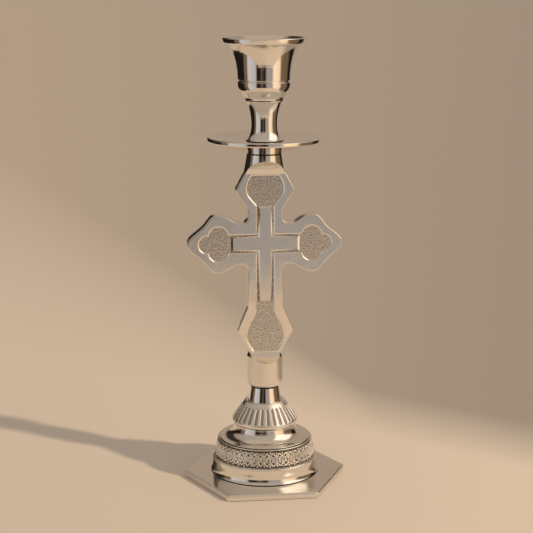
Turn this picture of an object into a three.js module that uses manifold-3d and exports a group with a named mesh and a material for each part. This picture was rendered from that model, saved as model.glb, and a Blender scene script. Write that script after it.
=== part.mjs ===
// Altar candlestick: a cast cross between a turned candle cup with its drip pan and a turned, stepped foot on a
// hexagonal plate. Millimetres, +Z up, origin at the centre of the face that the plate stands on. The front of the
// cross faces -Y and its arms lie along X.
import * as THREE from 'three';
import { mergeVertices } from 'three/addons/utils/BufferGeometryUtils.js';
import Module from 'manifold-3d';

// ---------------------------------------------------------------- driving dimensions
const GAP = 0.3;                      // air left between two pieces that touch

// levels of the seams up the axis
const PLATE_TOP = 3.2;
const DRUM_TOP = 21.7;
const BELL_TOP = 29.6;
const COLLAR_TOP = 42.2;
const BASE_NECK_TOP = 50.6;
const PAN_SEAT = 175.7;               // top of the cross's upper boss
const NECK_FOOT = 182.3;
const CUP_FOOT = 203.3;
const TOTAL_HEIGHT = 235;

// candle cup
const CUP_RIM_RADIUS = 21.7;
const CUP_LIP = { radius: 19.3, level: 231.5 };   // crease under the lip
const CUP_FOOT_RADIUS = 10.2;
const CUP_WAIST_RADIUS = 13.85;
const CUP_GROOVE_LEVEL = 213;
const CANDLE_RADIUS = 11.25;          // bore for a 22 mm candle
const CANDLE_FLOOR = 212;

// spool-shaped neck under the cup
const NECK_FOOT_RADIUS = 9.3;
const NECK_WAIST_RADIUS = 6.85;
const NECK_WAIST_LEVEL = 190.7;
const SPIGOT_RADIUS = 6.5;
const SPIGOT_END = 176.6;
const RING_LEVEL = 178;               // underside of the retaining ring
const RING_THICKNESS = 1;
const RING_INNER_RADIUS = 5.7;
const RING_OUTER_RADIUS = 8.2;

// drip pan
const PAN_RADIUS = 29.85;
const PAN_RIM_LEVEL = 184;
const PAN_EDGE = 2.4;                 // height of its rim
const PAN_HUB_RADIUS = 10.6;

// threaded rods: an M6 x 1 stud carries the cup, an M8 rod ties the foot together
const STUD = { radius: 3, hole: 3 + GAP, low: 166.3, high: 209 };
const TIE_ROD = { radius: 4, hole: 4 + GAP, low: 1.6, high: 63.5 };
const HOLE_END = 0.5;                 // blind holes run this far past their rod

// set screw at the back of the neck that keeps the stud from turning in it
const GRUB = { radius: 1.5, level: 187, end: 6.7, socket: 0.85, socketDepth: 1.2 };

// cross
const CROSS_THICKNESS = 8;
const CROSS_CENTRE = 128.2;           // level of the arms' centre line
const ARM_TIP = 41.1;
const UPPER_BOSS = { top: 9.2, bottom: 11.2, level: 164.7 };
const LOWER_BOSS = { radius: 9.6, foot: 8.4, bottom: 50.9, top: 69.3 };
const UPPER_RUN_OUT = { low: 165.1, high: 172.4 };
const LOWER_RUN_OUT = { low: 64.4, high: 69.3 };

// sunk panel on each face of the cross and the plain cross that stands in it
const PANEL_DEPTH = 0.7;
const BULB_RADIUS = 10.3;
const TREFOIL = { side: { x: 24.6, dz: 4, radius: 5.85 }, tip: { x: 30.4, radius: 5.2 } };
const CHANNEL = 2.2;                  // width of the channel round the plain cross
const STEM_BAR = { half: 2.9, low: 97.5, high: 147 };
const ARM_BAR = { half: 3.3, reach: 17.1 };

// foot
const BASE_NECK_TOP_RADIUS = 7.5;
const BASE_NECK_FOOT_RADIUS = 9;
const COLLAR_TOP_RADIUS = 9.9;
const COLLAR_RADIUS = 17.4;
const FLUTES = 30;
const FLUTE_DEPTH = 0.55;
const BELL_TOP_RADIUS = 16.2;
const BELL_SPIGOT = { radius: 10, low: 19.5 };
const DRUM_TOP_RADIUS = 25.25;
const DRUM_TAPER = 0.2;               // growth of its radius down its banded part
const DRUM_WAIST_RADIUS = 28;
const DRUM_FOOT_RADIUS = 29.1;
const BAND_TOP = 21.2;
const BAND_BOTTOM = 11.8;
const BAND_THICKNESS = 0.9;

// hexagonal plate: the two corners on the X axis, and the four at the ends of the front and back edges
const HEX_SIDE_CORNER = 43.7;
const HEX_FRONT_CORNER = new THREE.Vector2(23.5, 40.5);
const HEX_BEVEL = 0.9;
const DISH_RADIUS = 17;
const DISH_TOP = 16;
const DISH_WALL = 3;

// washers and nut that hang one under the other from the ceiling of the dish
const CLAMP_WASHER = { radius: 11, low: DISH_TOP - DISH_WALL - GAP - 1.6, high: DISH_TOP - DISH_WALL - GAP };
const SPRING_WASHER = { radius: 7.1, low: CLAMP_WASHER.low - GAP - 2, high: CLAMP_WASHER.low - GAP };
const NUT = { low: SPRING_WASHER.low - GAP - 6.5, high: SPRING_WASHER.low - GAP, acrossFlats: 13 };

const FINE = 40;                      // facets round the large turned pieces
const COARSE = 24;                    // facets round the small ones

// ---------------------------------------------------------------- materials
function metal(color, roughness) {
  return new THREE.MeshStandardMaterial({ color, roughness, metalness: 1 });
}

const silver = metal(0xc9c4ba, 0.16);
const chasedSilver = metal(0x8f8577, 0.42);
const steel = metal(0x8b8d8f, 0.38);

// ---------------------------------------------------------------- geometry helpers
const wasm = await Module();
wasm.setup();

// A closed geometry as a solid: positions only, shared vertices merged, collapsed triangles dropped.
function solid(geometry) {
  const bare = geometry.clone();
  bare.deleteAttribute('normal');
  bare.deleteAttribute('uv');
  const merged = mergeVertices(bare);
  const triangles = [];
  for (let i = 0; i < merged.index.count; i += 3) {
    const corners = [0, 1, 2].map((k) => merged.index.getX(i + k));
    if (new Set(corners).size === 3) {
      triangles.push(...corners);
    }
  }
  return new wasm.Manifold(new wasm.Mesh({
    numProp: 3,
    vertProperties: new Float32Array(merged.attributes.position.array),
    triVerts: new Uint32Array(triangles),
  }));
}

function fromSolid(body) {
  const mesh = body.getMesh();
  const geometry = new THREE.BufferGeometry();
  geometry.setAttribute('position', new THREE.BufferAttribute(new Float32Array(mesh.vertProperties), 3));
  geometry.setIndex(new THREE.BufferAttribute(new Uint32Array(mesh.triVerts), 1));
  geometry.computeVertexNormals();
  return geometry;
}

function cut(body, ...tools) {
  return fromSolid(tools.reduce((rest, tool) => rest.subtract(solid(tool)), solid(body)));
}

// A turned piece. draw() lays its closed section out on a path of (radius, level), outside going up.
function turned(draw, segments = FINE, divisions = 5) {
  const path = new THREE.Path();
  draw(path);
  const points = path.getPoints(divisions);
  if (points[0].x > 0) {
    points.push(points[0].clone());
  }
  return new THREE.LatheGeometry(points, segments).rotateX(Math.PI / 2);
}

// A plain ring, or a disc where inner is 0.
function ring(inner, outer, low, high, segments = COARSE) {
  return turned((p) => {
    p.moveTo(inner, low);
    p.lineTo(outer, low);
    p.lineTo(outer, high);
    p.lineTo(inner, high);
  }, segments);
}

// A shape drawn in (x, level) and extruded along Y from front to back.
function slab(shape, front, back) {
  const geometry = new THREE.ExtrudeGeometry(shape, {
    depth: back - front,
    bevelEnabled: false,
    curveSegments: 7,
  });
  return geometry.rotateX(Math.PI / 2).translate(0, back, 0);
}

// Closes an outline whose right half has been drawn from the top down, by mirroring its points in X.
function mirrored(rightHalf) {
  const points = rightHalf.getPoints(6);
  const left = points.map((p) => new THREE.Vector2(-p.x, p.y)).reverse();
  return new THREE.Shape([...points, ...left].reverse());
}

// ---------------------------------------------------------------- cup, neck and pan
function candleCup() {
  return turned((p) => {
    p.moveTo(STUD.hole, CUP_FOOT);
    p.lineTo(CUP_FOOT_RADIUS, CUP_FOOT);
    p.bezierCurveTo(10.3, 205.6, 13.7, 207.2, CUP_WAIST_RADIUS, 211);
    p.lineTo(CUP_WAIST_RADIUS, CUP_GROOVE_LEVEL - 0.7);
    p.lineTo(CUP_WAIST_RADIUS - 0.6, CUP_GROOVE_LEVEL);
    p.lineTo(CUP_WAIST_RADIUS, CUP_GROOVE_LEVEL + 0.7);
    p.bezierCurveTo(14.1, 222.5, 15.9, 227.7, CUP_LIP.radius, CUP_LIP.level);
    p.quadraticCurveTo(20.9, 231.8, CUP_RIM_RADIUS - 0.3, 233.6);
    p.lineTo(CUP_RIM_RADIUS, 234.5);
    p.lineTo(CUP_RIM_RADIUS - 0.4, TOTAL_HEIGHT);
    p.lineTo(CUP_RIM_RADIUS - 1.3, TOTAL_HEIGHT);
    p.bezierCurveTo(17.2, 232.1, 12.6, 229.4, CANDLE_RADIUS, 224);
    p.lineTo(CANDLE_RADIUS, CANDLE_FLOOR);
    p.lineTo(0, CANDLE_FLOOR);
    p.lineTo(0, STUD.high + HOLE_END);
    p.lineTo(STUD.hole, STUD.high + HOLE_END);
  });
}

function cupNeck() {
  const groove = RING_INNER_RADIUS - GAP;
  const body = turned((p) => {
    p.moveTo(STUD.hole, SPIGOT_END);
    p.lineTo(SPIGOT_RADIUS, SPIGOT_END);
    p.lineTo(SPIGOT_RADIUS, RING_LEVEL - GAP);
    p.lineTo(groove, RING_LEVEL - GAP);
    p.lineTo(groove, RING_LEVEL + RING_THICKNESS + GAP);
    p.lineTo(SPIGOT_RADIUS, RING_LEVEL + RING_THICKNESS + GAP);
    p.lineTo(SPIGOT_RADIUS, NECK_FOOT);
    p.lineTo(NECK_FOOT_RADIUS, NECK_FOOT);
    p.bezierCurveTo(7.6, 183.6, NECK_WAIST_RADIUS, 187.5, NECK_WAIST_RADIUS, NECK_WAIST_LEVEL);
    p.bezierCurveTo(NECK_WAIST_RADIUS, 195.5, 8, 200, CUP_FOOT_RADIUS, CUP_FOOT - GAP);
    p.lineTo(STUD.hole, CUP_FOOT - GAP);
  }, COARSE);
  return cut(body, alongY(GRUB.radius + GAP, 0, 12, 12));
}

// A cylinder along Y at the set screw's level.
function alongY(radius, near, far, sides) {
  const geometry = new THREE.CylinderGeometry(radius, radius, far - near, sides);
  return geometry.translate(0, (near + far) / 2, GRUB.level);
}

function neckGrubScrew() {
  const socket = alongY(GRUB.socket, GRUB.end - GRUB.socketDepth, GRUB.end + 1, 6);
  return cut(alongY(GRUB.radius, STUD.hole, GRUB.end, 12), socket);
}

function panRetainingRing() {
  const full = ring(RING_INNER_RADIUS, RING_OUTER_RADIUS, RING_LEVEL, RING_LEVEL + RING_THICKNESS);
  const mouth = new THREE.BoxGeometry(7, 12, 4).translate(0, RING_OUTER_RADIUS, RING_LEVEL);
  return cut(full, mouth);
}

function dripPan() {
  const bore = SPIGOT_RADIUS + GAP;
  const pocket = RING_OUTER_RADIUS + 0.6;
  const pocketTop = RING_LEVEL + RING_THICKNESS + GAP;
  return turned((p) => {
    p.moveTo(pocket, PAN_SEAT + GAP);
    p.lineTo(PAN_HUB_RADIUS, PAN_SEAT + GAP);
    p.bezierCurveTo(15, 177.4, 21.5, 179.8, PAN_RADIUS - 0.8, PAN_RIM_LEVEL - PAN_EDGE);
    p.lineTo(PAN_RADIUS, PAN_RIM_LEVEL - PAN_EDGE + 0.7);
    p.lineTo(PAN_RADIUS, PAN_RIM_LEVEL - 0.4);
    p.lineTo(PAN_RADIUS - 0.5, PAN_RIM_LEVEL);
    p.lineTo(PAN_RADIUS - 1.2, PAN_RIM_LEVEL);
    p.quadraticCurveTo(20, 182.4, NECK_FOOT_RADIUS + 0.5, NECK_FOOT - GAP);
    p.lineTo(bore, NECK_FOOT - GAP);
    p.lineTo(bore, pocketTop);
    p.lineTo(pocket, pocketTop);
  });
}

// ---------------------------------------------------------------- cross
function armLevel(dz) {
  return CROSS_CENTRE + dz;
}

function crossOutline() {
  const p = new THREE.Path();
  p.moveTo(8.6, 168);
  p.lineTo(10.9, 165.2);
  p.lineTo(15.5, 156.6);
  p.lineTo(9.2, 146.7);
  p.lineTo(9.1, armLevel(14.8));
  p.quadraticCurveTo(9.1, armLevel(10.9), 12.8, armLevel(10.9));
  p.bezierCurveTo(17.4, armLevel(10.9), 19.3, armLevel(15.5), 25.2, armLevel(15.5));
  p.bezierCurveTo(28.7, armLevel(15.5), 30, armLevel(12.1), 32.3, armLevel(9.5));
  p.bezierCurveTo(34.8, armLevel(6.7), 41, armLevel(3.5), ARM_TIP, armLevel(0));
  p.bezierCurveTo(41, armLevel(-3.5), 34.8, armLevel(-6.7), 32.3, armLevel(-9.5));
  p.bezierCurveTo(30, armLevel(-12.1), 28.7, armLevel(-15.5), 25.2, armLevel(-15.5));
  p.bezierCurveTo(19.3, armLevel(-15.5), 17.4, armLevel(-10.9), 12.8, armLevel(-10.9));
  p.quadraticCurveTo(9.1, armLevel(-10.9), 9.1, armLevel(-14.8));
  p.lineTo(9.5, 94.3);
  p.lineTo(14.9, 81.3);
  p.lineTo(8.4, LOWER_BOSS.top);
  p.lineTo(7, 60);
  return mirrored(p);
}

// One arm's trefoil, clockwise from the channel's upper edge: a lobe above and below the arm and one at its end.
function trefoil(p, edge) {
  const { side, tip } = TREFOIL;
  const start = Math.PI - Math.asin((edge - side.dz) / side.radius);
  const meet = 0.066 * Math.PI;
  p.absarc(side.x, armLevel(side.dz), side.radius, start, meet, true);
  p.absarc(tip.x, CROSS_CENTRE, tip.radius, Math.PI / 2, -Math.PI / 2, true);
  p.absarc(side.x, armLevel(-side.dz), side.radius, -meet, -start, true);
}

// The sunk panel of one face: a bulb at each end of the stem and a trefoil on each arm, joined by channels in which
// a plain cross is left standing.
function sunkPanel() {
  const channel = { side: STEM_BAR.half + CHANNEL, edge: ARM_BAR.half + CHANNEL };
  const p = new THREE.Path();
  p.moveTo(7.3, 164.9);
  p.quadraticCurveTo(BULB_RADIUS, 161.3, BULB_RADIUS, 156.9);
  p.bezierCurveTo(BULB_RADIUS, 153.4, 7.2, 151, channel.side, 148.2);
  p.lineTo(channel.side, armLevel(channel.edge));
  trefoil(p, channel.edge);
  p.lineTo(channel.side, armLevel(-channel.edge));
  p.lineTo(channel.side + 0.3, 93);
  p.bezierCurveTo(channel.side + 0.3, 88.5, BULB_RADIUS, 85, BULB_RADIUS, 78.4);
  p.bezierCurveTo(BULB_RADIUS, 75, 8.3, 72, 6.4, 69.7);

  const cross = new THREE.Path();
  cross.moveTo(STEM_BAR.half, STEM_BAR.high);
  cross.lineTo(STEM_BAR.half, armLevel(ARM_BAR.half));
  cross.lineTo(ARM_BAR.reach, armLevel(ARM_BAR.half));
  cross.lineTo(ARM_BAR.reach, armLevel(-ARM_BAR.half));
  cross.lineTo(STEM_BAR.half, armLevel(-ARM_BAR.half));
  cross.lineTo(STEM_BAR.half, STEM_BAR.low);

  const shape = mirrored(p);
  shape.holes.push(mirrored(cross));
  return shape;
}

// Wedge that takes the front of a boss back to the face of the cross, in a hollow sweep from its low to its high
// level. It is drawn in (y, level) for the front and extruded along X.
function runOut(draw) {
  const shape = new THREE.Shape();
  draw(shape);
  const geometry = new THREE.ExtrudeGeometry(shape, { depth: 40, bevelEnabled: false, curveSegments: 5 });
  return geometry.translate(0, 0, -20).rotateX(Math.PI / 2).rotateZ(Math.PI / 2);
}

function upperRunOut() {
  const face = -CROSS_THICKNESS / 2;
  const { low, high } = UPPER_RUN_OUT;
  return runOut((s) => {
    s.moveTo(face, low - 6);
    s.lineTo(face, low);
    s.quadraticCurveTo(face - 1.2, low + 4.6, face - 5.9, high);
    s.lineTo(face - 12, high + 1);
    s.lineTo(face - 12, low - 6);
  });
}

function lowerRunOut() {
  const face = -CROSS_THICKNESS / 2;
  const { low, high } = LOWER_RUN_OUT;
  return runOut((s) => {
    s.moveTo(face, high + 6);
    s.lineTo(face, high);
    s.quadraticCurveTo(face - 2.2, high - 2.9, face - 5.7, low);
    s.lineTo(face - 12, low);
    s.lineTo(face - 12, high + 6);
  });
}

function crossBody() {
  const half = CROSS_THICKNESS / 2;
  const upperBoss = turned((p) => {
    p.moveTo(0, UPPER_BOSS.level);
    p.lineTo(UPPER_BOSS.bottom, UPPER_BOSS.level);
    p.quadraticCurveTo(9.9, 170, UPPER_BOSS.top, PAN_SEAT);
    p.lineTo(0, PAN_SEAT);
  }, FINE, 4);
  const lowerBoss = turned((p) => {
    p.moveTo(0, LOWER_BOSS.bottom);
    p.lineTo(LOWER_BOSS.foot, LOWER_BOSS.bottom);
    p.quadraticCurveTo(LOWER_BOSS.radius, LOWER_BOSS.bottom + 1, LOWER_BOSS.radius, LOWER_BOSS.bottom + 4);
    p.lineTo(LOWER_BOSS.radius, LOWER_BOSS.top - 2.4);
    p.lineTo(8.5, LOWER_BOSS.top);
    p.lineTo(0, LOWER_BOSS.top);
  }, FINE, 4);
  const joined = solid(slab(crossOutline(), -half, half)).add(solid(upperBoss)).add(solid(lowerBoss));
  const panel = sunkPanel();
  const tools = [
    upperRunOut(),
    upperRunOut().rotateZ(Math.PI),
    lowerRunOut(),
    lowerRunOut().rotateZ(Math.PI),
    slab(panel, -half - 1, -half + PANEL_DEPTH),
    slab(panel, half - PANEL_DEPTH, half + 1),
    ring(0, STUD.hole, STUD.low - HOLE_END, PAN_SEAT + 1),
    ring(0, TIE_ROD.hole, LOWER_BOSS.bottom - 1, TIE_ROD.high + HOLE_END),
  ];
  return fromSolid(tools.reduce((rest, tool) => rest.subtract(solid(tool)), joined));
}

// ---------------------------------------------------------------- foot
function baseNeck() {
  return turned((p) => {
    p.moveTo(TIE_ROD.hole, COLLAR_TOP - 1);
    p.lineTo(BASE_NECK_FOOT_RADIUS, COLLAR_TOP - 1);
    p.lineTo(BASE_NECK_TOP_RADIUS, BASE_NECK_TOP - 0.6);
    p.lineTo(BASE_NECK_TOP_RADIUS - 0.5, BASE_NECK_TOP);
    p.lineTo(TIE_ROD.hole, BASE_NECK_TOP);
  }, COARSE);
}

// The collar's flank is fluted: its rows of points between the plain lip and the top ring step in at every second
// point round the axis.
function flutedCollar() {
  const flute = { low: 32.5, high: 40 };
  const plain = turned((p) => {
    p.moveTo(TIE_ROD.hole, BELL_TOP + GAP);
    p.lineTo(16.3, BELL_TOP + GAP);
    p.quadraticCurveTo(COLLAR_RADIUS, 30.8, COLLAR_RADIUS, 32.2);
    p.bezierCurveTo(16.6, 33.8, 13.9, 37.6, COLLAR_TOP_RADIUS + 2.1, 40.4);
    p.lineTo(COLLAR_TOP_RADIUS, COLLAR_TOP);
    p.lineTo(BASE_NECK_FOOT_RADIUS + 0.4, COLLAR_TOP);
    p.lineTo(BASE_NECK_FOOT_RADIUS + 0.4, COLLAR_TOP - 1 - GAP);
    p.lineTo(TIE_ROD.hole, COLLAR_TOP - 1 - GAP);
  }, FLUTES * 2);
  const position = plain.attributes.position;
  const point = new THREE.Vector3();
  for (let i = 0; i < position.count; i += 1) {
    point.fromBufferAttribute(position, i);
    const radius = Math.hypot(point.x, point.y);
    const turn = Math.round(Math.atan2(point.y, point.x) / (Math.PI / FLUTES));
    const onFlank = point.z > flute.low && point.z < flute.high && radius > BASE_NECK_FOOT_RADIUS + 1;
    if (onFlank && Math.abs(turn) % 2 === 1) {
      const scale = (radius - FLUTE_DEPTH) / radius;
      position.setXY(i, point.x * scale, point.y * scale);
    }
  }
  return plain;
}

function baseBell() {
  return turned((p) => {
    p.moveTo(TIE_ROD.hole, BELL_SPIGOT.low);
    p.lineTo(BELL_SPIGOT.radius, BELL_SPIGOT.low);
    p.lineTo(BELL_SPIGOT.radius, DRUM_TOP + GAP);
    p.lineTo(DRUM_TOP_RADIUS - 0.9, DRUM_TOP + GAP);
    p.lineTo(DRUM_TOP_RADIUS - 1.1, DRUM_TOP + GAP + 0.3);
    p.bezierCurveTo(20.2, 22.45, 16.8, 23.2, BELL_TOP_RADIUS + 0.2, 26.6);
    p.lineTo(BELL_TOP_RADIUS, BELL_TOP);
    p.lineTo(TIE_ROD.hole, BELL_TOP);
  });
}

// Radius of the drum's tapered face beside the band at a level.
function drumRadius(level) {
  return DRUM_TOP_RADIUS + (DRUM_TOP - level) * DRUM_TAPER;
}

// The drum is a heavy ring with a pocket below that takes the plate's dish. The ornament band lies in a shallow
// seat round it.
function baseDrum() {
  const seat = BAND_THICKNESS + GAP;
  const foot = PLATE_TOP + GAP;
  return turned((p) => {
    p.moveTo(DISH_RADIUS + GAP, foot);
    p.lineTo(DRUM_FOOT_RADIUS, foot);
    p.bezierCurveTo(28.5, 4.6, DRUM_WAIST_RADIUS, 6.4, DRUM_WAIST_RADIUS, 8);
    p.lineTo(DRUM_WAIST_RADIUS, BAND_BOTTOM - 0.5);
    p.lineTo(DRUM_WAIST_RADIUS - 0.4, BAND_BOTTOM);
    p.lineTo(drumRadius(BAND_BOTTOM) - seat, BAND_BOTTOM);
    p.lineTo(drumRadius(BAND_TOP) - seat, BAND_TOP);
    p.lineTo(drumRadius(BAND_TOP), BAND_TOP);
    p.lineTo(DRUM_TOP_RADIUS - 0.3, DRUM_TOP);
    p.lineTo(BELL_SPIGOT.radius + GAP, DRUM_TOP);
    p.lineTo(BELL_SPIGOT.radius + GAP, BELL_SPIGOT.low - GAP);
    p.lineTo(TIE_ROD.hole, BELL_SPIGOT.low - GAP);
    p.lineTo(TIE_ROD.hole, DISH_TOP + GAP);
    p.lineTo(DISH_RADIUS + GAP, DISH_TOP + GAP);
  });
}

function ornamentBand() {
  const low = BAND_BOTTOM + GAP;
  const high = BAND_TOP - GAP;
  return turned((p) => {
    p.moveTo(drumRadius(low) - BAND_THICKNESS, low);
    p.lineTo(drumRadius(low), low);
    p.lineTo(drumRadius(high), high);
    p.lineTo(drumRadius(high) - BAND_THICKNESS, high);
  });
}

// ---------------------------------------------------------------- hexagonal plate
function hexagon(inset) {
  const k = 1 - inset / HEX_FRONT_CORNER.y;
  const corners = [
    [HEX_SIDE_CORNER, 0],
    [HEX_FRONT_CORNER.x, HEX_FRONT_CORNER.y],
    [-HEX_FRONT_CORNER.x, HEX_FRONT_CORNER.y],
    [-HEX_SIDE_CORNER, 0],
    [-HEX_FRONT_CORNER.x, -HEX_FRONT_CORNER.y],
    [HEX_FRONT_CORNER.x, -HEX_FRONT_CORNER.y],
  ];
  return corners.map(([x, y]) => new THREE.Vector2(x * k, y * k));
}

// A six-sided prism whose rings of corners are given from the bottom up as [corners, level].
function hexPrism(levels) {
  const positions = [];
  levels.forEach(([corners, z]) => corners.forEach((c) => positions.push(c.x, c.y, z)));
  const index = [];
  for (let k = 0; k < levels.length - 1; k += 1) {
    for (let i = 0; i < 6; i += 1) {
      const [a, b] = [6 * k + i, 6 * k + ((i + 1) % 6)];
      index.push(a, b, b + 6, a, b + 6, a + 6);
    }
  }
  const top = 6 * (levels.length - 1);
  for (let i = 1; i < 5; i += 1) {
    index.push(0, i + 1, i);
    index.push(top, top + i, top + i + 1);
  }
  const geometry = new THREE.BufferGeometry();
  geometry.setAttribute('position', new THREE.Float32BufferAttribute(positions, 3));
  geometry.setIndex(index);
  return geometry;
}

// The plate rises in the middle to a dish, open below, that holds the clamping nut clear of the table.
function basePlate() {
  const plate = hexPrism([
    [hexagon(0.3), 0],
    [hexagon(0), 0.3],
    [hexagon(0), PLATE_TOP - HEX_BEVEL],
    [hexagon(HEX_BEVEL), PLATE_TOP],
  ]);
  const dish = ring(0, DISH_RADIUS, 1, DISH_TOP, FINE);
  const hollow = ring(0, DISH_RADIUS - DISH_WALL, -1, DISH_TOP - DISH_WALL, FINE);
  const hole = ring(0, TIE_ROD.hole, 1, DISH_TOP + 1);
  return fromSolid(solid(plate).add(solid(dish)).subtract(solid(hollow)).subtract(solid(hole)));
}

// ---------------------------------------------------------------- rods, washers and nut
function threadedRod({ radius, low, high }) {
  const chamfer = 0.7;
  return turned((p) => {
    p.moveTo(0, low);
    p.lineTo(radius - chamfer, low);
    p.lineTo(radius, low + chamfer);
    p.lineTo(radius, high - chamfer);
    p.lineTo(radius - chamfer, high);
    p.lineTo(0, high);
  }, 16);
}

function springWasher() {
  const full = ring(TIE_ROD.hole, SPRING_WASHER.radius, SPRING_WASHER.low, SPRING_WASHER.high);
  const split = new THREE.BoxGeometry(6, 0.9, 8).translate(6, 0, SPRING_WASHER.low);
  return cut(full, split);
}

function hexNut() {
  const radius = NUT.acrossFlats / 2 / Math.cos(Math.PI / 6);
  const height = NUT.high - NUT.low;
  const prism = new THREE.CylinderGeometry(radius, radius, height, 6).rotateX(Math.PI / 2);
  prism.translate(0, 0, (NUT.low + NUT.high) / 2);
  return cut(prism, ring(0, TIE_ROD.hole, NUT.low - 1, NUT.high + 1));
}

// ---------------------------------------------------------------- assembly
const group = new THREE.Group();

function add(parent, name, geometry, material) {
  const mesh = new THREE.Mesh(geometry, material.clone());
  mesh.name = name;
  parent.add(mesh);
}

const foot = new THREE.Group();
add(foot, 'base_plate', basePlate(), silver);
add(foot, 'base_drum', baseDrum(), silver);
add(foot, 'ornament_band', ornamentBand(), chasedSilver);
add(foot, 'base_bell', baseBell(), silver);
add(foot, 'fluted_collar', flutedCollar(), silver);
add(foot, 'base_neck', baseNeck(), silver);
add(foot, 'tie_rod', threadedRod(TIE_ROD), steel);
add(foot, 'clamp_washer', ring(TIE_ROD.hole, CLAMP_WASHER.radius, CLAMP_WASHER.low, CLAMP_WASHER.high), steel);
add(foot, 'spring_washer', springWasher(), steel);
add(foot, 'hex_nut', hexNut(), steel);

const stem = new THREE.Group();
add(stem, 'cross_body', crossBody(), silver);

// These pieces screw up off the cross together. The pan rides up on the neck without turning.
const top = new THREE.Group();
add(top, 'drip_pan', dripPan(), silver);
add(top, 'cup_neck', cupNeck(), silver);
add(top, 'candle_cup', candleCup(), silver);
add(top, 'cup_stud', threadedRod(STUD), steel);
add(top, 'neck_grub_screw', neckGrubScrew(), steel);
add(top, 'pan_retaining_ring', panRetainingRing(), steel);

group.add(foot, stem, top);

export default group;
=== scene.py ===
"""Silver altar candlestick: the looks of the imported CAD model.

Shapes are laid out in millimetres and made in metres."""
import math

import bmesh
import bpy
import numpy as np
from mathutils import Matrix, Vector
from mathutils.geometry import delaunay_2d_cdt
from mathutils.kdtree import KDTree


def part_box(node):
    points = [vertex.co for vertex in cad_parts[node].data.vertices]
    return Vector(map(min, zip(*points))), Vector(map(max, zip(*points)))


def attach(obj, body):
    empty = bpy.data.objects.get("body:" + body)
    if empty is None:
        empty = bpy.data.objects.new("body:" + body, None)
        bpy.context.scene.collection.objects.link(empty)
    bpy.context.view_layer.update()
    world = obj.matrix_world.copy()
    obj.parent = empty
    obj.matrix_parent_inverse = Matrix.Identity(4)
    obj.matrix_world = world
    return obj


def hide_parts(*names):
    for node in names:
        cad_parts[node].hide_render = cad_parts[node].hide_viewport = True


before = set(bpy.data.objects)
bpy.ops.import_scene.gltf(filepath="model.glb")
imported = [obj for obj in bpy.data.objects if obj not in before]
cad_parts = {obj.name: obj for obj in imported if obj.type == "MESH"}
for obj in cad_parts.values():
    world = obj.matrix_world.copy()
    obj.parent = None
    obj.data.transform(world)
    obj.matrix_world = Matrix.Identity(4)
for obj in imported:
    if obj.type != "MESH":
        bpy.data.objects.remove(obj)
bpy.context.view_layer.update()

MM = 0.001


def low(node):
    """Lowest level of a CAD node, in millimetres."""
    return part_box(node)[0].z / MM


def high(node):
    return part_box(node)[1].z / MM


def radius_of(node):
    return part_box(node)[1].x / MM


# ---------------------------------------------------------------- dimensions, in millimetres
SEAM = 0.15                              # half of the dark joint left between two touching pieces
CAD_GAP = 0.15                           # half of the gap that the CAD leaves there
STUD_BORE = 3.3                          # radii
ROD_BORE = 4.3
CANDLE_BORE = 11.25
CANDLE_SEAT = 212                        # level of the cup's floor
FLOOR = 2.5                              # its thickness
PLATE_TOP = 3.2
DRUM_RECESS = 16.3                       # roof of the hollow under the drum
DRUM_TOP = high("base_drum")
BELL_SPIGOT = 19.5                       # lowest level of the bell, inside the drum
BELL_TOP = high("base_bell")
COLLAR_TOP = high("fluted_collar")
COLLAR_SEAT = 41.2                       # level inside the collar where the neck sits
NECK_TOP = high("base_neck")
PAN_SEAT = high("cross_body")
PAN_RADIUS = radius_of("drip_pan")
PAN_RIM = high("drip_pan")
NECK_FOOT = 182.3
SPIGOT_STEP = 179.3                      # level of the pan's step over its ring
CUP_FOOT = low("candle_cup")
CUP_TOP = high("candle_cup")
CUP_RADIUS = radius_of("candle_cup")
CROSS_HALF = 4.0                         # half of the cross's thickness
ARM_LEVEL = 128.2                        # centre line of the cross's arms
ARM_TIP = radius_of("cross_body")


# ---------------------------------------------------------------- sections and outlines
def bend(start, controls, end, steps):
    """Points after start on a Bezier curve with one or two control points."""
    nodes = [Vector(p) for p in (start, *controls, end)]
    points = []
    for i in range(1, steps + 1):
        t = i / steps
        row = nodes
        while len(row) > 1:
            row = [a.lerp(b, t) for a, b in zip(row, row[1:])]
        points.append(row[0])
    return points


def trace(start, *moves, steps=14):
    """A line of points. A move is an end point, or a tuple of one or two control points and an end point.

    Each point has a flag that says whether it is a corner, which rounded() may soften."""
    points, corners = [Vector(start)], [True]
    for move in moves:
        if isinstance(move[0], tuple):
            run = bend(points[-1], move[:-1], move[-1], steps)
        else:
            run = [Vector(move)]
        points += run
        corners += [False] * (len(run) - 1) + [True]
    return points, corners


def rounded(points, corners, radius, closed=True, least=12, hold=True):
    """Softens the corners that turn by more than least degrees.

    With hold, held() then keeps smooth shading flat on long straight stretches."""
    count = len(points)
    result = []
    for i, here in enumerate(points):
        if not closed and i in (0, count - 1):
            result.append(here)
            continue
        before, after = points[i - 1], points[(i + 1) % count]
        back, ahead = before - here, after - here
        if min(back.length, ahead.length) < 1e-6:
            continue
        turn = 180 - math.degrees(back.angle(ahead))
        if not corners[i] or turn < least:
            result.append(here)
            continue
        reach = min(radius * math.tan(math.radians(turn) / 2), 0.4 * back.length, 0.4 * ahead.length)
        start = here + back.normalized() * reach
        end = here + ahead.normalized() * reach
        result.append(start)
        result += bend(start, (here,), end, 4)
    return held(result, closed) if hold else result


def held(points, closed, margin=0.12):
    """The same line with a point added close to both ends of each long stretch."""
    result = []
    for i, here in enumerate(points):
        result.append(here)
        if i == len(points) - 1 and not closed:
            break
        step = points[(i + 1) % len(points)] - here
        if step.length > 4 * margin:
            result.append(here + step * (margin / step.length))
            result.append(here + step * (1 - margin / step.length))
    return result


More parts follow.
